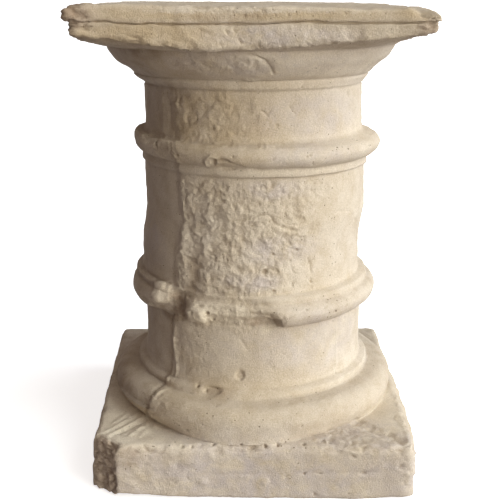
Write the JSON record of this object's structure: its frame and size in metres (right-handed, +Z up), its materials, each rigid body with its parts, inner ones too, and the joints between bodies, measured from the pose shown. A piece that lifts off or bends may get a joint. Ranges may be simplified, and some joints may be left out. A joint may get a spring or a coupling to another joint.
{
  "type": "garden pedestal",
  "caption": "Short round column of worn cast stone on a square plinth, with a ringed drum, a bell and a flat square slab that carries an urn, bust or sundial.",
  "frame": {"origin": "on the ground under the middle of the plinth, where the drum's axis meets the underside", "axes": "+Z up; the front, with the broken stretch of the lower ring, looks along -Y; +X to the right seen from the front"},
  "size_m": [0.406, 0.406, 0.6],
  "materials": {
    "cast_stone": "matt warm beige cast stone with a pale grey lime bloom, worn and pitted"
  },
  "bodies": {
    "root": {"pedestal": "cast_stone"}
  },
  "joints": []
}
